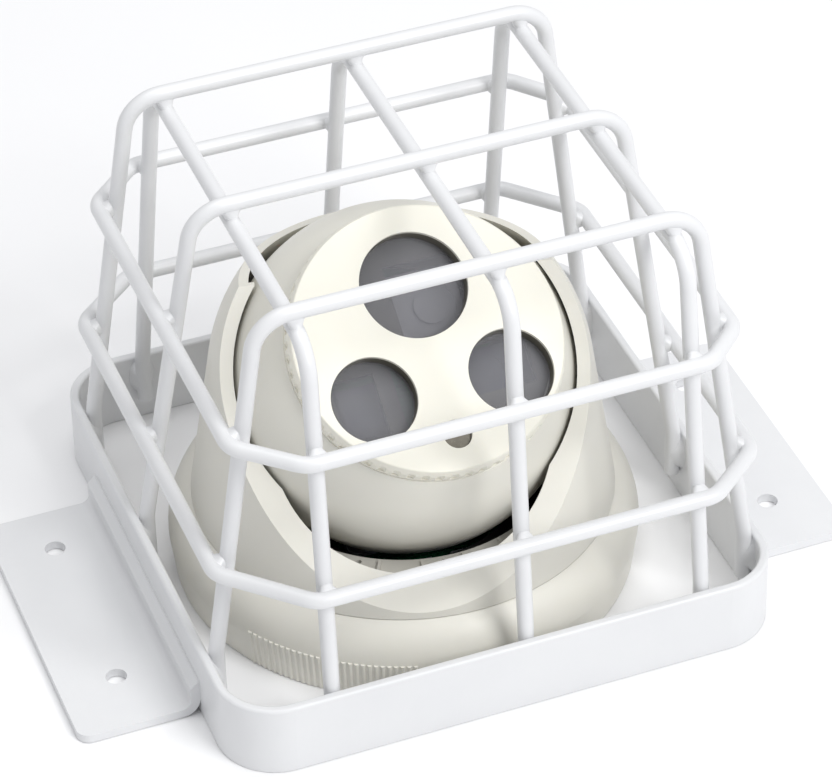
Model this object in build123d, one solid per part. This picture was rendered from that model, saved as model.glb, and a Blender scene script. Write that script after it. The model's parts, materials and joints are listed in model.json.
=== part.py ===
from build123d import *
import math
import os

# Aimable infrared fire detector inside a welded wire guard, in millimetres.
# The origin is the centre of the guard on the wall face, +Z points away from the wall,
# +X runs along the guard's front side and -Y is the side that the detector looks to.

# ---------------------------------------------------------------- guard dimensions
WIRE_R = 2.5
BAND_SIDE = 180.0
BAND_THICK = 3.0
BAND_HEIGHT = 25.0
BAND_CORNER_R = 19.0
BAND_EDGE_R = 1.0
LEG_FOOT_Z = 9.0
LEG_INSET = BAND_SIDE / 2 - BAND_THICK - WIRE_R
HOOP_BEND_R = 12.0
KNEE_BEND_R = 30.0

# Each hoop stands a little askew: where its first foot, its top and its second foot are, along
# the direction that the hoop doesn't span.
CROSS_TOP_Z = 147.5
CROSS_TOP_HALF = 68.0
CROSS_HOOPS = {"front": (-57.5, -60.0, -68.5), "middle": (10.0, -4.5, -15.0), "rear": (65.5, 57.0, 60.0)}
LONG_TOP_Z = 141.4
LONG_TOP_HALF = 70.0
LONG_HOOPS = {"left": (-57.6, -56.3, -61.7), "middle": (4.8, 5.5, 2.6), "right": (62.7, 60.5, 60.5)}

RING_HEIGHTS = {"guard_ring_upper": 107.0, "guard_ring_lower": 60.0}
RING_BEND_R = 8.0
RING_PAST_LEG = 4.0
RING_GAP = 0.15

FLANGE_LENGTH = 104.0
FLANGE_MID_Y = -4.0
FLANGE_REACH = 38.5
FLANGE_THICK = 3.0
FLANGE_UPSTAND = 13.0
FLANGE_BEND_R = 3.0
FLANGE_CORNER_R = 4.0
HOLE_R = 3.3
HOLE_X = 110.0
HOLE_MID_Y = -2.0
HOLE_HALF_PITCH = 32.0

# ---------------------------------------------------------------- detector dimensions
DETECTOR_X = -4.0
DETECTOR_Y = -4.0
TURRET_PAN = -14.0
BALL_ELEVATION = 53.7
BALL_CENTRE_Z = 66.5

PLATE_R = 70.0
PLATE_THICK = 3.0
BASE_FOOT_R = 73.4
BASE_WIDE_R = 74.8
BASE_WIDE_Z = 12.0
BASE_SHOULDER_R = 72.4
BASE_SHOULDER_Z = 20.5
BASE_TOP_R = 67.0
BASE_TOP_Z = 25.7
BASE_LIP_R = 60.3
BASE_LIP_Z = 22.7
RIB_COUNT = 28
RIB_PITCH_DEG = 1.55
RIB_HEIGHT = 14.0
RIB_R = 0.7
RIB_RELIEF = 0.35
RIB_SECTORS = (-39.0, 141.0)

BOARD_R = 52.0
BOARD_Z = 7.0
BOARD_THICK = 1.6
POST_RADIUS_AT = 44.0
LUG_RADIUS_AT = 66.3
LUG_R = 3.4

TURRET_FOOT_R = 67.0
TURRET_FOOT_Z = 26.0
TURRET_R = 60.0
TURRET_WALL = 2.4
TURRET_WEB_Z = 29.0
COLLAR_R = 59.9
COLLAR_WALL = 3.1
COLLAR_FOOT_Z = 20.0
OPENING_TILT = 45.0
OPENING_PLANE = 20.0
RIM_THICK = 1.8
TRIM_R = 59.0
TRIM_BORE_R = 47.6
TRIM_Z = 31.4
TRIM_THICK = 1.5
RIM_R = 56.2
REAR_CUT_Y = 7.0
REAR_CUT_RISE = 35.0
REAR_CUT_SLOPE_DEG = -10.1
SCOOP_R = 43.0
SCOOP_SHIFT = 19.5

BALL_R = 54.8
BALL_WALL = 2.6
BALL_SPLIT = -1.0
BALL_BACK = -30.0
BALL_FRONT = 34.0
BOSS_R = 8.5
PILLAR_R = 3.4
PILLAR_AT = 38.0
CARRIER_Z = 28.5
CARRIER_THICK = 2.0
OPTICS_BOARD_Z = 2.0
OPTICS_BOARD_TOP = 3.6
FACE_FLAT_R = 41.9
FACE_R = 42.9
FACE_NECK_R = 42.6
FACE_BORE_R = 41.3
FACE_FRONT = 41.3
FACE_SHOULDER = 38.6
FACE_SKIRT = 36.4
FACE_EDGE_R = 0.6
NOTCH_COUNT = 60
NOTCH_R = 1.6
NOTCH_AT = 43.8

WINDOW_MAIN = (0.7, 16.8, 16.8)
WINDOW_LEFT = (-21.8, -14.6, 13.3)
WINDOW_RIGHT = (21.6, -16.1, 13.3)
PINHOLE = (-0.5, -30.8, 4.5)
SKIN_THICK = 1.3
TUBE_WALL = 0.8
TUBE_BACK = 34.1
GLASS_FRONT = 36.0
GLASS_THICK = 1.6
GLASS_GROOVE = 0.5
OPTICS_BOARD_R = 34.0
CAMERA_AT = (8.0, 14.5)
EMITTER_AT = (-21.5, -13.0)
RECEIVER_AT = (20.5, -10.5)

EAR_INNER_R = 55.2
EAR_OUTER_R = 57.2
EAR_HALF_WIDTH = 6.0
PIN_R = 3.0
PIN_CLEARANCE = 0.05
GAP = 0.3


# ---------------------------------------------------------------- helpers
def cylinder(radius, low, high, x=0.0, y=0.0):
    """Upright cylinder between two heights."""
    return Pos(x, y, (low + high) / 2) * Cylinder(radius, high - low)


def tube(outer, inner, low, high, x=0.0, y=0.0):
    """Upright ring between two heights."""
    return cylinder(outer, low, high, x, y) - cylinder(inner, low - 1, high + 1, x, y)


def block(x_size, y_size, low, high, x=0.0, y=0.0):
    """Upright box between two heights."""
    return Pos(x, y, (low + high) / 2) * Box(x_size, y_size, high - low)


def around(radius, count, first_deg=0.0):
    """Evenly spaced points on a circle."""
    step = 360.0 / count
    angles = [math.radians(first_deg + step * index) for index in range(count)]
    return [(radius * math.cos(angle), radius * math.sin(angle)) for angle in angles]


def group(shapes):
    """Several separate solids in one node."""
    return Compound(list(shapes))


def save(shape, name):
    export_step(shape, "parts/" + name + ".step")


def in_base(shape):
    return Pos(DETECTOR_X, DETECTOR_Y, 0) * shape


def in_turret(shape):
    return Pos(DETECTOR_X, DETECTOR_Y, 0) * Rot(0, 0, TURRET_PAN) * shape


def in_ball(shape):
    """Place a shape drawn about the ball's centre with the face's outward direction as +Z."""
    tilt = math.radians(BALL_ELEVATION)
    outward = (0, -math.cos(tilt), math.sin(tilt))
    frame = Plane(origin=(DETECTOR_X, DETECTOR_Y, BALL_CENTRE_Z), x_dir=(1, 0, 0), z_dir=outward)
    return frame.location * shape


# ---------------------------------------------------------------- guard
def wire_along(path):
    """Round wire whose centre line is the path."""
    section = Plane(origin=path @ 0, z_dir=path % 0) * Circle(WIRE_R)
    return sweep(section, path=path)


def hoop(spans_x, places, top_half, top_z):
    """One U of wire: legs inside the band, leaning in to a flat top."""
    first_foot, top, second_foot = places
    points = [
        (-LEG_INSET, first_foot, LEG_FOOT_Z), (-LEG_INSET, first_foot, BAND_HEIGHT), (-top_half, top, top_z),
        (top_half, top, top_z), (LEG_INSET, second_foot, BAND_HEIGHT), (LEG_INSET, second_foot, LEG_FOOT_Z),
    ]
    if not spans_x:
        points = [(along, across, z) for across, along, z in points]
    radii = [KNEE_BEND_R, HOOP_BEND_R, HOOP_BEND_R, KNEE_BEND_R]
    return wire_along(FilletPolyline(*points, radius=radii))


def leg_at(z, foot, top, top_z):
    """Where a leaning leg stands at a height above the band."""
    share = (z - BAND_HEIGHT) / (top_z - BAND_HEIGHT)
    return foot + (top - foot) * share


def guard_ring(z):
    """Wire ring that lies against the outside of the legs, with slanted corners past the outer legs."""
    wire_beside = 2 * WIRE_R + RING_GAP
    side_x = leg_at(z, LEG_INSET, CROSS_TOP_HALF, CROSS_TOP_Z) + wire_beside
    side_y = leg_at(z, LEG_INSET, LONG_TOP_HALF, LONG_TOP_Z) + wire_beside
    front, rear = CROSS_HOOPS["front"], CROSS_HOOPS["rear"]
    left, right = LONG_HOOPS["left"], LONG_HOOPS["right"]
    corners = [
        (side_x, leg_at(z, front[2], front[1], CROSS_TOP_Z) - RING_PAST_LEG, z),
        (side_x, leg_at(z, rear[2], rear[1], CROSS_TOP_Z) + RING_PAST_LEG, z),
        (leg_at(z, right[2], right[1], LONG_TOP_Z) + RING_PAST_LEG, side_y, z),
        (leg_at(z, left[2], left[1], LONG_TOP_Z) - RING_PAST_LEG, side_y, z),
        (-side_x, leg_at(z, rear[0], rear[1], CROSS_TOP_Z) + RING_PAST_LEG, z),
        (-side_x, leg_at(z, front[0], front[1], CROSS_TOP_Z) - RING_PAST_LEG, z),
        (leg_at(z, left[0], left[1], LONG_TOP_Z) - RING_PAST_LEG, -side_y, z),
        (leg_at(z, right[0], right[1], LONG_TOP_Z) + RING_PAST_LEG, -side_y, z),
    ]
    return wire_along(FilletPolyline(*corners, radius=RING_BEND_R, close=True))


def guard_band():
    inner_side = BAND_SIDE - 2 * BAND_THICK
    outline = RectangleRounded(BAND_SIDE, BAND_SIDE, BAND_CORNER_R)
    outline -= RectangleRounded(inner_side, inner_side, BAND_CORNER_R - BAND_THICK)
    band = extrude(outline, BAND_HEIGHT)
    return fillet(band.faces().sort_by(Axis.Z)[-1].edges(), BAND_EDGE_R)


def guard_flange(side):
    """Bent plate: a foot on the wall and an upstand welded to the band's outer face."""
    band_face = BAND_SIDE / 2
    outer_bend = FLANGE_BEND_R + FLANGE_THICK
    weld_slope = FLANGE_THICK - 0.6
    section = Polyline(
        (band_face + FLANGE_REACH, FLANGE_THICK), (band_face + FLANGE_REACH, 0), (band_face + outer_bend, 0),
    )
    section += JernArc(section @ 1, (-1, 0), outer_bend, -90)
    section += Polyline(
        (band_face, outer_bend), (band_face, FLANGE_UPSTAND), (band_face + 0.6, FLANGE_UPSTAND),
        (band_face + FLANGE_THICK, FLANGE_UPSTAND - weld_slope), (band_face + FLANGE_THICK, outer_bend),
    )
    section += JernArc((band_face + FLANGE_THICK, outer_bend), (0, -1), FLANGE_BEND_R, 90)
    section += Line((band_face + outer_bend, FLANGE_THICK), (band_face + FLANGE_REACH, FLANGE_THICK))
    profile = Plane.XZ.offset(-(FLANGE_MID_Y + FLANGE_LENGTH / 2)) * make_face(section)
    plate = extrude(profile, FLANGE_LENGTH)
    outer_corners = plate.edges().filter_by(Axis.Z).sort_by(Axis.X)[-2:]
    plate = fillet(outer_corners, FLANGE_CORNER_R)
    for way in (-1, 1):
        plate -= cylinder(HOLE_R, -1, FLANGE_THICK + 1, HOLE_X, HOLE_MID_Y + way * HOLE_HALF_PITCH)
    if side < 0:
        plate = mirror(plate, about=Plane.YZ)
    return plate


def build_guard():
    save(guard_band(), "guard_band")
    save(guard_flange(-1), "guard_flange_left")
    save(guard_flange(1), "guard_flange_right")
    for name, places in CROSS_HOOPS.items():
        save(hoop(True, places, CROSS_TOP_HALF, CROSS_TOP_Z), "guard_cross_hoop_" + name)
    for name, places in LONG_HOOPS.items():
        save(hoop(False, places, LONG_TOP_HALF, LONG_TOP_Z), "guard_long_hoop_" + name)
    for name, height in RING_HEIGHTS.items():
        save(guard_ring(height), name)


# ---------------------------------------------------------------- base
def base_housing():
    """Round skirt with a domed shoulder, an inward lip, lugs and two sectors of grip ribs."""
    profile = Polyline((BASE_LIP_R, BASE_LIP_Z), (BASE_LIP_R, BASE_TOP_Z), (BASE_TOP_R, BASE_TOP_Z))
    profile += ThreePointArc(
        (BASE_TOP_R, BASE_TOP_Z), (BASE_SHOULDER_R, BASE_SHOULDER_Z), (BASE_WIDE_R, BASE_WIDE_Z)
    )
    wall = 3.0
    profile += Polyline(
        (BASE_WIDE_R, BASE_WIDE_Z), (BASE_FOOT_R, 0), (BASE_FOOT_R - wall, 0),
        (BASE_WIDE_R - wall, BASE_WIDE_Z), (BASE_SHOULDER_R - wall, BASE_SHOULDER_Z - 1.5),
        (BASE_TOP_R - 1.5, BASE_LIP_Z), (BASE_LIP_R, BASE_LIP_Z),
    )
    housing = revolve(Plane.XZ * make_face(profile), Axis.Z)
    lugs = [cylinder(LUG_R, PLATE_THICK, 15.5, x, y) for x, y in around(LUG_RADIUS_AT, 4, 45)]
    lug_links = [
        Rot(0, 0, 45 + 90 * index) * block(5.0, 2.4, PLATE_THICK, 15.5, LUG_RADIUS_AT + LUG_R + 0.2, 0)
        for index in range(4)
    ]
    housing += lugs + lug_links
    lean = math.degrees(math.atan2(BASE_WIDE_R - BASE_FOOT_R, BASE_WIDE_Z))
    rib = Pos(BASE_FOOT_R + RIB_RELIEF - RIB_R, 0, 0) * Rot(0, lean, 0) * cylinder(RIB_R, 0, RIB_HEIGHT)
    rib &= block(200, 200, 0, RIB_HEIGHT)
    ribs = []
    for sector in RIB_SECTORS:
        first = sector - 90 - RIB_PITCH_DEG * (RIB_COUNT - 1) / 2
        ribs += [Rot(0, 0, first + RIB_PITCH_DEG * index) * rib for index in range(RIB_COUNT)]
    housing += ribs
    housing -= [cylinder(1.3, 0, 13.5, x, y) for x, y in around(LUG_RADIUS_AT, 4, 45)]
    return housing


def back_plate():
    plate = cylinder(PLATE_R, 0, PLATE_THICK)
    plate += [cylinder(3.2, PLATE_THICK, BOARD_Z, x, y) for x, y in around(POST_RADIUS_AT, 4)]
    plate -= cylinder(11.1, -1, PLATE_THICK + 1)
    plate -= [cylinder(1.3, 1.0, BOARD_Z + 1, x, y) for x, y in around(POST_RADIUS_AT, 4)]
    for x, y in around(LUG_RADIUS_AT, 4, 45):
        plate -= cylinder(1.5, -1, PLATE_THICK + 1, x, y)
        plate -= Pos(x, y, 1.1) * Cone(3.0, 1.5, 2.2)
    for x, y in around(56.0, 2):
        plate -= cylinder(2.3, -1, PLATE_THICK + 1, x, y)
    return plate


def base_screws():
    """Countersunk screws from the back plate up into the housing's lugs."""
    screw = Pos(0, 0, 1.1) * Cone(2.8, 1.25, 2.0) + cylinder(1.25, 2.0, 12.5)
    return group(Pos(x, y, 0) * screw for x, y in around(LUG_RADIUS_AT, 4, 45))


def board_screws():
    top = BOARD_Z + BOARD_THICK
    screw = cylinder(1.25, 3.5, top) + cylinder(2.6, top, top + 1.8) - block(3.6, 0.7, top + 1.0, top + 2)
    return group(Pos(x, y, 0) * screw for x, y in around(POST_RADIUS_AT, 4))


def main_circuit_board():
    board = cylinder(BOARD_R, BOARD_Z, BOARD_Z + BOARD_THICK)
    board -= cylinder(11.0, 0, 20)
    board -= [cylinder(1.4, 0, 20, x, y) for x, y in around(POST_RADIUS_AT, 4)]
    return board


def board_components():
    """Relay, converter coil, capacitors and chips on the main board."""
    top = BOARD_Z + BOARD_THICK
    parts = [
        block(15, 10, top, top + 6.5, -34, -22), block(15, 10, top, top + 6.5, -34, -34 + 48),
        cylinder(4.5, top, top + 6.0, 30, -26), cylinder(3.0, top, top + 5.5, 38, -14),
        cylinder(3.0, top, top + 5.5, 38, 14), block(12, 12, top, top + 1.6, 20, 10),
        block(9, 9, top, top + 1.4, -18, -8), block(6, 4, top, top + 1.3, 10, -24),
        block(6, 4, top, top + 1.3, -2, -24), block(14, 6, top, top + 4.5, 22, -38),
    ]
    return group(parts)


def terminal_block():
    """Six-way cable terminal with wire mouths and screw wells."""
    top = BOARD_Z + BOARD_THICK
    body = block(32, 9, top, top + 7.5, 0, 36)
    for way in range(6):
        x = -13.0 + 5.2 * way
        body -= block(3.6, 6, top + 1.2, top + 4.2, x, 32)
        body -= cylinder(1.7, top + 5.0, top + 8, x, 37)
    return body


def cable_grommet():
    """Rubber grommet in the back plate's cable entry."""
    grommet = tube(11.0, 7.5, 0.2, PLATE_THICK) + tube(13.0, 7.5, PLATE_THICK, 4.4)
    return grommet


def build_base():
    save(in_base(base_housing()), "base_housing")
    save(in_base(back_plate()), "base_back_plate")
    save(in_base(base_screws()), "base_screws")
    save(in_base(board_screws()), "board_screws")
    save(in_base(main_circuit_board()), "main_circuit_board")
    save(in_base(board_components()), "board_components")
    save(in_base(terminal_block()), "terminal_block")
    save(in_base(cable_grommet()), "cable_grommet")


# ---------------------------------------------------------------- turret
def dome(foot_r, foot_z, dome_r):
    """Solid of a cone that runs tangent into a sphere about the ball's centre."""
    drop = foot_z - BALL_CENTRE_Z
    reach = math.hypot(foot_r, drop)
    touch = math.atan2(drop, foot_r) + math.acos(dome_r / reach)
    touch_point = (dome_r * math.cos(touch), BALL_CENTRE_Z + dome_r * math.sin(touch))
    middle = (touch + math.pi / 2) / 2
    middle_point = (dome_r * math.cos(middle), BALL_CENTRE_Z + dome_r * math.sin(middle))
    top_point = (0, BALL_CENTRE_Z + dome_r)
    outline = Polyline(top_point, (0, foot_z), (foot_r, foot_z), touch_point)
    outline += ThreePointArc(touch_point, middle_point, top_point)
    return revolve(Plane.XZ * make_face(outline), Axis.Z)


def opening_frame(distance):
    """Plane square to the opening's direction, at a distance from the ball's centre."""
    tilt = math.radians(OPENING_TILT)
    outward = Vector(0, -math.cos(tilt), math.sin(tilt))
    origin = Vector(0, 0, BALL_CENTRE_Z) + outward * distance
    return Plane(origin=origin, x_dir=(1, 0, 0), z_dir=outward)


def rear_cut():
    """Everything above the slope that opens the shell behind the ball."""
    origin = (0, REAR_CUT_Y, BALL_CENTRE_Z + REAR_CUT_RISE)
    slope = Plane(origin=origin, x_dir=(1, 0, 0), z_dir=(0, 0, 1)).rotated((REAR_CUT_SLOPE_DEG, 0, 0))
    return slope.location * Pos(0, 0, 50) * Box(200, 200, 100)


def turret_shell():
    """Domed shell cut by a slanted plane, with a flat rim that leaves an egg-shaped opening."""
    outer = dome(TURRET_FOOT_R, TURRET_FOOT_Z, TURRET_R)
    cavity = dome(TURRET_FOOT_R - TURRET_WALL, TURRET_WEB_Z, TURRET_R - TURRET_WALL)
    big = 200.0
    beyond = opening_frame(OPENING_PLANE).location * Pos(0, 0, big / 2) * Box(big, big, big)
    behind_rim = opening_frame(OPENING_PLANE - RIM_THICK).location * Pos(0, 0, -big / 2) * Box(big, big, big)
    ball_way = Pos(0, 0, BALL_CENTRE_Z) * Sphere(RIM_R)
    scoop = opening_frame(0).location * Pos(0, -SCOOP_SHIFT, 20) * Cylinder(SCOOP_R, 60)
    shell = outer - (cavity & behind_rim)
    shell -= beyond
    shell -= rear_cut()
    shell -= ball_way
    scoop &= opening_frame(OPENING_PLANE - RIM_THICK - 1).location * Pos(0, 0, 15) * Box(big, big, 30)
    shell -= scoop
    collar_bore = COLLAR_R - COLLAR_WALL
    shell -= cylinder(collar_bore, COLLAR_FOOT_Z, TURRET_WEB_Z + 1)
    shell += tube(COLLAR_R, collar_bore, COLLAR_FOOT_Z, TURRET_FOOT_Z)
    shell -= [cylinder(1.1, COLLAR_FOOT_Z - 1, 26, x, y) for x, y in around(58.35, 4, 45)]
    return shell


def turret_trim_ring():
    """Ribbed ledge that closes the gap between the shell and the ball."""
    ring = tube(TRIM_R, TRIM_BORE_R, TRIM_Z, TRIM_Z + TRIM_THICK)
    ring += tube(TRIM_R, COLLAR_R - COLLAR_WALL, TURRET_WEB_Z, TRIM_Z)
    rib_length = TRIM_R - TRIM_BORE_R - 3.0
    rib = block(rib_length, 0.9, TRIM_Z, TRIM_Z + TRIM_THICK + 1.0, (TRIM_R + TRIM_BORE_R) / 2, 0)
    ring += [Rot(0, 0, 15 * index) * rib for index in range(24)]
    ring -= [cylinder(0.9, TRIM_Z - 1, TRIM_Z + 3, x, y) for x, y in around(50.0, 12, 7.5)]
    return ring


def pan_retaining_ring():
    """Ring under the base lip that keeps the turret down."""
    ring = tube(64.4, 51.0, 17.2, COLLAR_FOOT_Z)
    for x, y in around(58.35, 4, 45):
        ring -= cylinder(1.35, 17, 21, x, y)
        ring -= cylinder(2.5, 17, 18.6, x, y)
    return ring


def pan_ring_screws():
    screw = cylinder(2.2, 17.4, 18.6) + cylinder(1.05, 18.5, 25.0)
    return group(Pos(x, y, 0) * screw for x, y in around(58.35, 4, 45))


def build_turret():
    save(in_turret(turret_shell()), "turret_shell")
    save(in_turret(turret_trim_ring()), "turret_trim_ring")
    save(in_turret(pan_retaining_ring()), "pan_retaining_ring")
    save(in_turret(pan_ring_screws()), "pan_ring_screws")
    save(in_turret(tube(64.2, 60.5, COLLAR_FOOT_Z, BASE_LIP_Z - GAP)), "pan_friction_washer")
    save(in_turret(tube(COLLAR_R - COLLAR_WALL, 47.0, 23.1, 25.0)), "cradle_keeper_ring")


# ---------------------------------------------------------------- cradle
def ball_cradle():
    """Ring with two curved ears that follow the ball up to its tilt axis."""
    ring = tube(56.4, 36.5, COLLAR_FOOT_Z + GAP, 22.8)
    centre = Pos(0, 0, BALL_CENTRE_Z)
    shell = centre * (Sphere(EAR_OUTER_R) - Sphere(EAR_INNER_R))
    strip = block(200, 2 * EAR_HALF_WIDTH, COLLAR_FOOT_Z + GAP, BALL_CENTRE_Z)
    strip += centre * Rot(0, 90, 0) * Cylinder(EAR_HALF_WIDTH, 200)
    cradle = ring + (shell & strip)
    cradle -= centre * Rot(0, 90, 0) * Cylinder(PIN_R, 200)
    return cradle


def trunnion_pins():
    pin = Pos(0, 0, BALL_CENTRE_Z) * Rot(0, 90, 0) * Pos(0, 0, 52.2) * Cylinder(PIN_R, 9.6)
    return group([pin, mirror(pin, about=Plane.YZ)])


def build_cradle():
    save(in_base(ball_cradle()), "ball_cradle")
    save(in_base(trunnion_pins()), "trunnion_pins")


# ---------------------------------------------------------------- ball, drawn with the face along +Z
def ball_slice(low, high):
    shell = Sphere(BALL_R) - Sphere(BALL_R - BALL_WALL)
    return shell & block(200, 200, low, high)


def pivot_cuts(shape):
    """Recess for the tilt washer and bore for the trunnion pin on both sides."""
    bore_r = PIN_R + PIN_CLEARANCE
    shape -= Rot(0, 90, 0) * (cylinder(bore_r, -60, -46) + cylinder(bore_r, 46, 60))
    shape -= Rot(0, 90, 0) * (cylinder(6.3, 52.2, 60) + cylinder(6.3, -60, -52.2))
    return shape


def ball_front_shell():
    """Front of the ball with the two pivot bosses inside."""
    shell = ball_slice(BALL_SPLIT, BALL_FRONT)
    bosses = Rot(0, 90, 0) * (cylinder(BOSS_R, 47, 54.4) + cylinder(BOSS_R, -54.4, -47))
    bosses &= block(200, 200, BALL_SPLIT, 40)
    shell += bosses
    return pivot_cuts(shell)


def ball_rear_shell():
    """Back of the ball, closed by a flat floor with four screw pillars."""
    shell = ball_slice(BALL_BACK, BALL_SPLIT)
    floor_r = math.sqrt(BALL_R ** 2 - BALL_BACK ** 2) - 0.2
    shell += cylinder(floor_r, BALL_BACK, BALL_BACK + BALL_WALL)
    bosses = Rot(0, 90, 0) * (cylinder(BOSS_R, 47, 54.4) + cylinder(BOSS_R, -54.4, -47))
    bosses &= block(200, 200, BALL_BACK, BALL_SPLIT)
    shell += bosses
    shell += [cylinder(PILLAR_R, BALL_BACK, BALL_SPLIT, x, y) for x, y in around(PILLAR_AT, 4, 45)]
    shell -= [cylinder(1.4, BALL_BACK - 1, 0, x, y) for x, y in around(PILLAR_AT, 4, 45)]
    shell -= cylinder(6.0, BALL_BACK - 1, 0)
    return pivot_cuts(shell)


def ball_screws():
    """Long screws from the rear floor through the pillars into the optics carrier's legs."""
    screw = cylinder(2.4, BALL_BACK - 1.4, BALL_BACK) + cylinder(1.25, BALL_BACK, CARRIER_Z - 2)
    return group(Pos(x, y, 0) * screw for x, y in around(PILLAR_AT, 4, 45))


def face_plate():
    """Cap with a flat front, a scalloped edge, three window holes and a small indicator hole."""
    outline = Polyline(
        (0, FACE_FRONT), (FACE_FLAT_R, FACE_FRONT), (FACE_R, FACE_SHOULDER), (FACE_R, FACE_SKIRT),
        (FACE_NECK_R, BALL_FRONT), (FACE_BORE_R, BALL_FRONT), (FACE_BORE_R, FACE_FRONT - SKIN_THICK),
        (0, FACE_FRONT - SKIN_THICK), (0, FACE_FRONT),
    )
    plate = revolve(Plane.XZ * make_face(outline), Axis.Z)
    plate = fillet(plate.faces().sort_by(Axis.Z)[-1].edges(), FACE_EDGE_R)
    for x, y in around(NOTCH_AT, NOTCH_COUNT):
        plate -= cylinder(NOTCH_R, FACE_SKIRT - 0.8, FACE_SHOULDER + 0.8, x, y)
    for x, y, radius in (WINDOW_MAIN, WINDOW_LEFT, WINDOW_RIGHT, PINHOLE):
        plate -= cylinder(radius, FACE_FRONT - 3, FACE_FRONT + 1, x, y)
    return plate


def window_tubes():
    """Dark tubes that line the three windows behind the face."""
    skin_back = FACE_FRONT - SKIN_THICK
    return group(
        tube(radius + TUBE_WALL, radius, TUBE_BACK, skin_back, x, y)
        - cylinder(radius + GLASS_GROOVE, GLASS_FRONT - GLASS_THICK, GLASS_FRONT, x, y)
        for x, y, radius in (WINDOW_MAIN, WINDOW_LEFT, WINDOW_RIGHT)
    )


def window_glass(window):
    x, y, radius = window
    return cylinder(radius + GLASS_GROOVE, GLASS_FRONT - GLASS_THICK, GLASS_FRONT, x, y)


def rectangle_cut(low_x, high_x, low_y, high_y):
    """Square hole right through the optics carrier."""
    wide, tall = high_x - low_x, high_y - low_y
    below, above = CARRIER_Z - 1, CARRIER_Z + CARRIER_THICK + 1
    return block(wide, tall, below, above, low_x + wide / 2, low_y + tall / 2)


def optics_carrier():
    """Plate behind the windows with square apertures, on four long legs and three board posts."""
    carrier = cylinder(41.2, CARRIER_Z, CARRIER_Z + CARRIER_THICK)
    carrier -= rectangle_cut(-4.0, 20.0, 3.0, 27.0)
    carrier -= rectangle_cut(-31.0, -17.0, -24.0, -4.0)
    carrier -= rectangle_cut(-11.5, -6.0, -24.0, -4.0)
    carrier -= rectangle_cut(8.0, 32.0, -18.6, -3.0)
    carrier -= cylinder(3.0, CARRIER_Z - 1, CARRIER_Z + 3, PINHOLE[0], PINHOLE[1])
    carrier += [cylinder(PILLAR_R, BALL_SPLIT, CARRIER_Z, x, y) for x, y in around(PILLAR_AT, 4, 45)]
    carrier += [cylinder(2.5, OPTICS_BOARD_TOP, CARRIER_Z, x, y) for x, y in around(31.0, 3)]
    carrier -= [cylinder(1.3, BALL_SPLIT - 1, CARRIER_Z - 1, x, y) for x, y in around(PILLAR_AT, 4, 45)]
    return carrier


def camera_module():
    """Sensor block with a shallow round lens seat, behind the large window."""
    x, y = CAMERA_AT
    module = block(22, 22, OPTICS_BOARD_TOP, 24.0, x, y)
    module -= cylinder(8.0, 23.0, 25.0, x + 1, y - 1)
    return module + cylinder(5.5, 22.0, 24.2, x + 1, y - 1)


def infrared_unit(position):
    """Square infrared cell on a stepped carrier."""
    x, y = position
    unit = block(16, 16, OPTICS_BOARD_TOP, 22.0, x, y) + block(13, 13, 22.0, 24.0, x, y)
    return unit - cylinder(4.5, 23.2, 25, x, y)


def optics_board():
    return cylinder(OPTICS_BOARD_R, OPTICS_BOARD_Z, OPTICS_BOARD_TOP)


def light_pipe():
    """Clear indicator rod behind the small hole."""
    x, y, radius = PINHOLE
    head = cylinder(radius - 0.2, 34.5, FACE_FRONT - SKIN_THICK - 0.3, x, y)
    return head + cylinder(2.6, OPTICS_BOARD_TOP, 34.6, x, y)


def tilt_washers():
    washer = Rot(0, 90, 0) * tube(6.0, PIN_R + 0.1, 52.25, 54.75)
    return group([washer, mirror(washer, about=Plane.YZ)])


def build_ball():
    save(in_ball(ball_front_shell()), "ball_front_shell")
    save(in_ball(ball_rear_shell()), "ball_rear_shell")
    save(in_ball(ball_screws()), "ball_screws")
    save(in_ball(face_plate()), "face_plate")
    save(in_ball(window_tubes()), "window_tubes")
    save(in_ball(window_glass(WINDOW_MAIN)), "window_main")
    save(in_ball(window_glass(WINDOW_LEFT)), "window_left")
    save(in_ball(window_glass(WINDOW_RIGHT)), "window_right")
    save(in_ball(optics_carrier()), "optics_carrier")
    save(in_ball(camera_module()), "camera_module")
    save(in_ball(infrared_unit(EMITTER_AT)), "infrared_emitter")
    save(in_ball(infrared_unit(RECEIVER_AT)), "infrared_receiver")
    save(in_ball(optics_board()), "optics_board")
    save(in_ball(light_pipe()), "light_pipe")
    save(in_ball(tilt_washers()), "tilt_washers")


os.makedirs("parts", exist_ok=True)
build_guard()
build_base()
build_turret()
build_cradle()
build_ball()
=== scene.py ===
import json
import math

import bmesh
import bpy
from mathutils import Matrix, Vector, noise


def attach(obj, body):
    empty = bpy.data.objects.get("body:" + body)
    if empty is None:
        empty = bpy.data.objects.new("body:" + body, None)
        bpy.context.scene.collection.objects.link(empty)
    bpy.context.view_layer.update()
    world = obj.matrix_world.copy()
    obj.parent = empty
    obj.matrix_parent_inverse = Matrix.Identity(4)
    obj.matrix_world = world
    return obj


# Materials, welds, light and camera for the infrared detector in its wire guard. Lengths are in metres.

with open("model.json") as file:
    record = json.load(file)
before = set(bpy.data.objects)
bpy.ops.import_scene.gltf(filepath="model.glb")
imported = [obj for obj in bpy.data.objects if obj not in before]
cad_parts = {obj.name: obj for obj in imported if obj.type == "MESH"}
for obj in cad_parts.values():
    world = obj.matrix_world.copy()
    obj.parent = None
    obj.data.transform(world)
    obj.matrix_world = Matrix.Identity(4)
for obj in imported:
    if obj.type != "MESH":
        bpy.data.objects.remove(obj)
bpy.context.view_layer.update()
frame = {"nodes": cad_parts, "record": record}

# ---------------------------------------------------------------- dimensions shared with the CAD
WIRE_R = 0.0025
BAND_INNER = 0.087
BAND_TOP = 0.025
LEG_INSET = 0.0845
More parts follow.
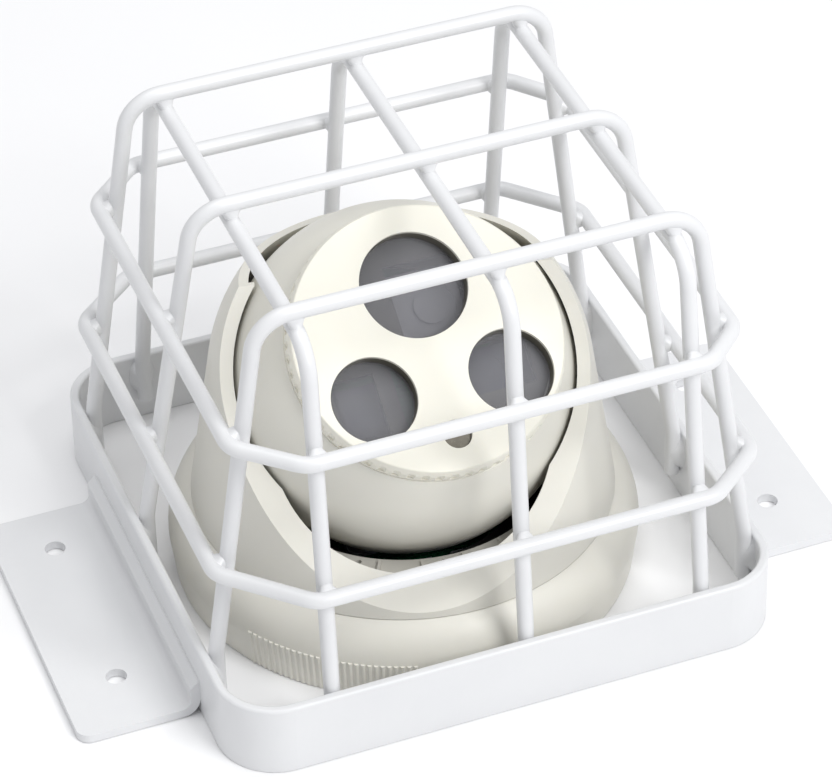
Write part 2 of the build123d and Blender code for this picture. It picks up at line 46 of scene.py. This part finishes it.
# Each hoop: where its first foot, its top and its second foot are, along the direction it doesn't span.
CROSS_TOP_Z = 0.1475
CROSS_TOP_HALF = 0.068
CROSS_HOOPS = ((-0.0575, -0.0600, -0.0685), (0.0100, -0.0045, -0.0150), (0.0655, 0.0570, 0.0600))
LONG_TOP_Z = 0.1414
LONG_TOP_HALF = 0.070
LONG_HOOPS = ((-0.0576, -0.0563, -0.0617), (0.0048, 0.0055, 0.0026), (0.0627, 0.0605, 0.0605))
RING_HEIGHTS = (0.060, 0.107)
GUARD_BODY = "guard_and_base"

# ---------------------------------------------------------------- camera
CAMERA_AT = (-0.3248, -0.8714, 0.8091)
CAMERA_FORWARD = (0.2734, 0.7280, -0.6287)
CAMERA_ROLL_DEG = -0.95
CAMERA_LENS = 165.9
CAMERA_SENSOR = 36.0


def make_camera():
    """Camera that looks down on the guard from the front left, built from its direction and roll."""
    forward = Vector(CAMERA_FORWARD).normalized()
    level_right = forward.cross(Vector((0, 0, 1))).normalized()
    level_up = level_right.cross(forward)
    roll = math.radians(CAMERA_ROLL_DEG)
    right = level_right * math.cos(roll) + level_up * math.sin(roll)
    up = right.cross(forward)
    data = bpy.data.cameras.new("camera")
    data.lens = CAMERA_LENS
    data.sensor_width = CAMERA_SENSOR
    data.clip_start = 0.05
    data.clip_end = 20.0
    camera = bpy.data.objects.new("camera", data)
    turn = Matrix((right, up, -forward)).transposed().to_4x4()
    camera.matrix_world = Matrix.Translation(CAMERA_AT) @ turn
    bpy.context.scene.collection.objects.link(camera)
    bpy.context.scene.camera = camera


# ---------------------------------------------------------------- materials
GLASS_ALPHA = 0.38


def new_material(name):
    material = bpy.data.materials.new(name)
    material.use_nodes = True
    nodes = material.node_tree.nodes
    shader = nodes["Principled BSDF"]
    return material, material.node_tree, shader


def object_coordinates(tree):
    """Position on the piece in metres, which stays put when the piece moves."""
    return tree.nodes.new("ShaderNodeTexCoord").outputs["Object"]


def noise_node(tree, coordinates, size, detail=3.0, roughness=0.55):
    """Noise whose features are about the given size in metres."""
    node = tree.nodes.new("ShaderNodeTexNoise")
    node.inputs["Scale"].default_value = 1.0 / size
    node.inputs["Detail"].default_value = detail
    node.inputs["Roughness"].default_value = roughness
    tree.links.new(coordinates, node.inputs["Vector"])
    return node.outputs["Fac"]


def ramp(tree, factor, low_at, low_colour, high_at, high_colour):
    node = tree.nodes.new("ShaderNodeValToRGB")
    node.color_ramp.elements[0].position = low_at
    node.color_ramp.elements[0].color = (*low_colour, 1)
    node.color_ramp.elements[1].position = high_at
    node.color_ramp.elements[1].color = (*high_colour, 1)
    tree.links.new(factor, node.inputs["Fac"])
    return node.outputs["Color"]


def value_range(tree, factor, low, high):
    node = tree.nodes.new("ShaderNodeMapRange")
    node.inputs["From Min"].default_value = 0.3
    node.inputs["From Max"].default_value = 0.7
    node.inputs["To Min"].default_value = low
    node.inputs["To Max"].default_value = high
    tree.links.new(factor, node.inputs["Value"])
    return node.outputs["Result"]


def add_bump(tree, shader, height, strength, distance, below=None):
    node = tree.nodes.new("ShaderNodeBump")
    node.inputs["Strength"].default_value = strength
    node.inputs["Distance"].default_value = distance
    tree.links.new(height, node.inputs["Height"])
    if below is not None:
        tree.links.new(below, node.inputs["Normal"])
    tree.links.new(node.outputs["Normal"], shader.inputs["Normal"])
    return node.outputs["Normal"]


def mottled(name, light, dark, patch, rough, grain, grain_depth, wave=None, wave_depth=0.0):
    """Moulded or coated surface: slow colour drift, uneven gloss and a fine surface grain."""
    material, tree, shader = new_material(name)
    place = object_coordinates(tree)
    drift = noise_node(tree, place, patch)
    tree.links.new(ramp(tree, drift, 0.3, dark, 0.7, light), shader.inputs["Base Color"])
    gloss = noise_node(tree, place, patch * 0.35, detail=4.0)
    tree.links.new(value_range(tree, gloss, rough[0], rough[1]), shader.inputs["Roughness"])
    below = None
    if wave is not None:
        swell = noise_node(tree, place, wave, detail=1.0)
        below = add_bump(tree, shader, swell, 1.0, wave_depth)
    fine = noise_node(tree, place, grain, detail=2.0)
    add_bump(tree, shader, fine, 1.0, grain_depth, below)
    return material, shader


def powder_coat():
    """White powder coat with a faint orange-peel surface."""
    material, shader = mottled(
        "guard_powder_coat", (0.76, 0.765, 0.775), (0.735, 0.74, 0.752), 0.03, (0.30, 0.42),
        0.0009, 0.000012, wave=0.004, wave_depth=0.00006,
    )
    shader.inputs["Coat Weight"].default_value = 0.12
    shader.inputs["Coat Roughness"].default_value = 0.25
    return material


def ivory_plastic(name, light, dark):
    """Satin ABS with a fine spark-eroded grain and a little light inside it."""
    material, shader = mottled(name, light, dark, 0.045, (0.40, 0.50), 0.00045, 0.000009)
    shader.inputs["Subsurface Weight"].default_value = 0.06
    shader.inputs["Subsurface Radius"].default_value = (1.0, 0.8, 0.5)
    shader.inputs["Subsurface Scale"].default_value = 0.0015
    return material


def plain_moulding(name, light, dark, rough=(0.45, 0.6)):
    return mottled(name, light, dark, 0.02, rough, 0.0005, 0.00001)[0]


def circuit_laminate():
    """Green solder mask with faint copper tracks on a grid."""
    material, tree, shader = new_material("circuit_laminate")
    place = object_coordinates(tree)
    tracks = tree.nodes.new("ShaderNodeTexBrick")
    tracks.inputs["Scale"].default_value = 180.0
    tracks.inputs["Mortar Size"].default_value = 0.03
    tracks.inputs["Color1"].default_value = (0.012, 0.11, 0.045, 1)
    tracks.inputs["Color2"].default_value = (0.016, 0.135, 0.055, 1)
    tracks.inputs["Mortar"].default_value = (0.03, 0.22, 0.09, 1)
    tree.links.new(place, tracks.inputs["Vector"])
    tree.links.new(tracks.outputs["Color"], shader.inputs["Base Color"])
    gloss = noise_node(tree, place, 0.004)
    tree.links.new(value_range(tree, gloss, 0.22, 0.36), shader.inputs["Roughness"])
    add_bump(tree, shader, tracks.outputs["Fac"], 0.6, 0.00004)
    return material


def zinc_steel():
    """Bright zinc plate with fine turning marks."""
    material, tree, shader = new_material("zinc_plated_steel")
    place = object_coordinates(tree)
    patch = noise_node(tree, place, 0.002)
    colour = ramp(tree, patch, 0.3, (0.50, 0.51, 0.52), 0.7, (0.66, 0.66, 0.65))
    tree.links.new(colour, shader.inputs["Base Color"])
    tree.links.new(value_range(tree, patch, 0.24, 0.42), shader.inputs["Roughness"])
    add_bump(tree, shader, noise_node(tree, place, 0.0003), 0.5, 0.00001)
    shader.inputs["Metallic"].default_value = 1.0
    return material


def filter_glass():
    """Grey infrared filter window: partly see-through with a soft sheen over it."""
    material, tree, shader = new_material("filter_glass")
    place = object_coordinates(tree)
    haze = noise_node(tree, place, 0.012)
    colour = ramp(tree, haze, 0.3, (0.30, 0.30, 0.325), 0.7, (0.34, 0.34, 0.36))
    tree.links.new(colour, shader.inputs["Base Color"])
    tree.links.new(value_range(tree, haze, 0.10, 0.16), shader.inputs["Roughness"])
    shader.inputs["Alpha"].default_value = GLASS_ALPHA
    return material


def light_pipe_plastic():
    material, shader = mottled(
        "light_pipe_plastic", (0.22, 0.20, 0.16), (0.17, 0.155, 0.12), 0.003, (0.2, 0.3), 0.0004, 0.00001
    )
    shader.inputs["Coat Weight"].default_value = 0.4
    shader.inputs["Coat Roughness"].default_value = 0.08
    return material


def make_materials():
    """One material for each of the record's material slots."""
    return {
        "guard_coat": powder_coat(),
        "housing_ivory": ivory_plastic("housing_plastic", (0.74, 0.725, 0.665), (0.72, 0.705, 0.64)),
        "ball_ivory": ivory_plastic("ball_plastic", (0.76, 0.745, 0.68), (0.74, 0.725, 0.655)),
        "face_ivory": ivory_plastic("face_plastic", (0.84, 0.82, 0.73), (0.82, 0.80, 0.71)),
        "back_plate_grey": plain_moulding("back_plate_plastic", (0.56, 0.55, 0.51), (0.52, 0.51, 0.47)),
        "trim_grey": plain_moulding("trim_plastic", (0.58, 0.565, 0.52), (0.53, 0.515, 0.47)),
        "cradle_black": plain_moulding("cradle_plastic", (0.025, 0.025, 0.025), (0.018, 0.018, 0.018)),
        "washer_nylon": plain_moulding("washer_nylon", (0.66, 0.64, 0.58), (0.62, 0.60, 0.54)),
        "optics_dark": plain_moulding(
            "optics_olive_plastic", (0.12, 0.11, 0.082), (0.09, 0.083, 0.06), (0.3, 0.42)
        ),
        "component_black": plain_moulding("component_plastic", (0.50, 0.50, 0.54), (0.45, 0.45, 0.49)),
        "cell_navy": plain_moulding("cell_enamel", (0.05, 0.055, 0.10), (0.04, 0.045, 0.085), (0.15, 0.25)),
        "terminal_green": plain_moulding("terminal_plastic", (0.05, 0.25, 0.10), (0.04, 0.21, 0.08)),
        "board_laminate": circuit_laminate(),
        "screw_steel": zinc_steel(),
        "grommet_rubber": plain_moulding(
            "grommet_rubber", (0.03, 0.03, 0.03), (0.02, 0.02, 0.02), (0.6, 0.75)
        ),
        "window_glass": filter_glass(),
        "light_pipe_clear": light_pipe_plastic(),
    }


def dress_cad_nodes(materials):
    """Give each CAD node the material of its slot."""
    for row in frame["record"]["subparts"]:
        mesh = frame["nodes"][row["node"]].data
        mesh.materials.clear()
        mesh.materials.append(materials[row["material_slot"]])


# ---------------------------------------------------------------- weld fillets on the guard
FILLET_STEPS = 9
FILLET_SIDES = 28
FILLET_HALF = 0.0022
LUMP_SIZE = 0.0035
LUMP_HEIGHT = 0.00035

# Weld spool sizes: waist radius, then half lengths along and across the wire at the outer and inner end.
TOP_SPOOL = (0.0022, (0.0042, 0.0018), (0.0018, 0.0042))
RING_SPOOL = (0.0025, (0.0046, 0.0019), (0.0019, 0.0046))
FOOT_SPOOL = (0.0036, (0.0046, 0.0076), (0.0020, 0.0072))
TOP_SPOOL_DROP = 0.0002
FOOT_SPOOL_SINK = 0.0004
FOOT_SPOOL_BELOW_BAND_TOP = 0.0082


def add_fillet(mesh, centre, normal, along, waist, outer, inner):
    """Concave spool of weld between two pieces that meet at centre.

    outer and inner are the half lengths along and across the wire at the two ends of the spool.
    """
    normal = Vector(normal).normalized()
    along = Vector(along).normalized()
    across = normal.cross(along)
    rings = []
    for step in range(FILLET_STEPS):
        share = step / (FILLET_STEPS - 1)
        height = (share * 2 - 1) * FILLET_HALF
        to_outer = share ** 2
        to_inner = (1 - share) ** 2
        half_along = waist + (outer[0] - waist) * to_outer + (inner[0] - waist) * to_inner
        half_across = waist + (outer[1] - waist) * to_outer + (inner[1] - waist) * to_inner
        ring = []
        for side in range(FILLET_SIDES):
            angle = math.tau * side / FILLET_SIDES
            spread = along * (math.cos(angle) * half_along) + across * (math.sin(angle) * half_across)
            point = Vector(centre) + normal * height + spread
            lump = noise.noise(point / LUMP_SIZE) * LUMP_HEIGHT
            ring.append(mesh.verts.new(point + spread.normalized() * lump))
        rings.append(ring)
    for low, high in zip(rings, rings[1:]):
        for side in range(FILLET_SIDES):
            after = (side + 1) % FILLET_SIDES
            mesh.faces.new((low[side], low[after], high[after], high[side]))
    mesh.faces.new(list(reversed(rings[0])))
    mesh.faces.new(rings[-1])


def leg_at(z, foot, top, top_z):
    """Where a leaning leg is at a height."""
    share = (z - BAND_TOP) / (top_z - BAND_TOP)
    return foot + (top - foot) * share


def fillets_object(name, spools, material):
    mesh = bmesh.new()
    for spool in spools:
        add_fillet(mesh, *spool)
    bmesh.ops.recalc_face_normals(mesh, faces=mesh.faces)
    data = bpy.data.meshes.new(name)
    mesh.to_mesh(data)
    mesh.free()
    for face in data.polygons:
        face.use_smooth = True
    piece = bpy.data.objects.new(name, data)
    bpy.context.scene.collection.objects.link(piece)
    data.materials.append(material)
    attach(piece, GUARD_BODY)
    return piece


def top_spools():
    """Welds where the cross hoops lie on the long hoops."""
    z = (CROSS_TOP_Z + LONG_TOP_Z) / 2 - TOP_SPOOL_DROP
    return [
        ((x, y, z), (0, 0, 1), (1, 0, 0), *TOP_SPOOL)
        for _, x, _ in LONG_HOOPS for _, y, _ in CROSS_HOOPS
    ]


def ring_spools(z):
    """Welds where a ring passes the outside of the legs."""
    spools = []
    leg_x = leg_at(z, LEG_INSET, CROSS_TOP_HALF, CROSS_TOP_Z) + WIRE_R
    leg_y = leg_at(z, LEG_INSET, LONG_TOP_HALF, LONG_TOP_Z) + WIRE_R
    for first_foot, top, second_foot in CROSS_HOOPS:
        for side, foot in ((-1, first_foot), (1, second_foot)):
            place = (side * leg_x, leg_at(z, foot, top, CROSS_TOP_Z), z)
            spools.append((place, (side, 0, 0), (0, 1, 0), *RING_SPOOL))
    for first_foot, top, second_foot in LONG_HOOPS:
        for side, foot in ((-1, first_foot), (1, second_foot)):
            place = (leg_at(z, foot, top, LONG_TOP_Z), side * leg_y, z)
            spools.append((place, (0, side, 0), (1, 0, 0), *RING_SPOOL))
    return spools


def foot_spools():
    """Welds that hold the legs to the band's inner face."""
    spools = []
    inset = BAND_INNER - FILLET_HALF + FOOT_SPOOL_SINK
    z = BAND_TOP - FOOT_SPOOL_BELOW_BAND_TOP
    for first_foot, _, second_foot in CROSS_HOOPS:
        for side, foot in ((-1, first_foot), (1, second_foot)):
            spools.append(((side * inset, foot, z), (side, 0, 0), (0, 1, 0), *FOOT_SPOOL))
    for first_foot, _, second_foot in LONG_HOOPS:
        for side, foot in ((-1, first_foot), (1, second_foot)):
            spools.append(((foot, side * inset, z), (0, side, 0), (1, 0, 0), *FOOT_SPOOL))
    return spools


def make_welds(material):
    fillets_object("welds_top", top_spools(), material)
    fillets_object("welds_ring_lower", ring_spools(RING_HEIGHTS[0]), material)
    fillets_object("welds_ring_upper", ring_spools(RING_HEIGHTS[1]), material)
    fillets_object("welds_feet", foot_spools(), material)


# ---------------------------------------------------------------- stage and light
FLOOR_SIZE = 6.0
FLOOR_DROP = 0.0002
SKY_STRENGTH = 0.50
SOFTBOX_TARGET = (0, 0, 0.05)


def make_floor():
    material, tree, shader = new_material("floor_paper")
    place = object_coordinates(tree)
    drift = noise_node(tree, place, 0.4)
    colour = ramp(tree, drift, 0.3, (0.90, 0.90, 0.91), 0.7, (0.92, 0.92, 0.925))
    tree.links.new(colour, shader.inputs["Base Color"])
    shader.inputs["Roughness"].default_value = 0.9
    half = FLOOR_SIZE / 2
    low = -FLOOR_DROP
    corners = [(-half, -half, low), (half, -half, low), (half, half, low), (-half, half, low)]
    data = bpy.data.meshes.new("floor")
    data.from_pydata(corners, [], [(0, 1, 2, 3)])
    data.materials.append(material)
    floor = bpy.data.objects.new("floor", data)
    bpy.context.scene.collection.objects.link(floor)


def add_softbox(name, place, target, size, power):
    data = bpy.data.lights.new(name, "AREA")
    data.shape = "SQUARE"
    data.size = size
    data.energy = power
    light = bpy.data.objects.new(name, data)
    light.location = place
    light.rotation_euler = (Vector(target) - Vector(place)).to_track_quat("-Z", "Y").to_euler()
    bpy.context.scene.collection.objects.link(light)


def make_light():
    world = bpy.data.worlds.new("studio")
    world.use_nodes = True
    sky = world.node_tree.nodes["Background"]
    sky.inputs["Color"].default_value = (0.97, 0.98, 1.0, 1)
    sky.inputs["Strength"].default_value = SKY_STRENGTH
    bpy.context.scene.world = world
    add_softbox("key", (0.65, -1.3, 1.4), SOFTBOX_TARGET, 0.8, 21.0)
    add_softbox("top", (-0.1, 0.1, 1.9), SOFTBOX_TARGET, 1.2, 14.0)
    bpy.context.scene.view_settings.view_transform = "Standard"


make_camera()
materials = make_materials()
dress_cad_nodes(materials)
make_welds(materials["guard_coat"])
make_floor()
make_light()
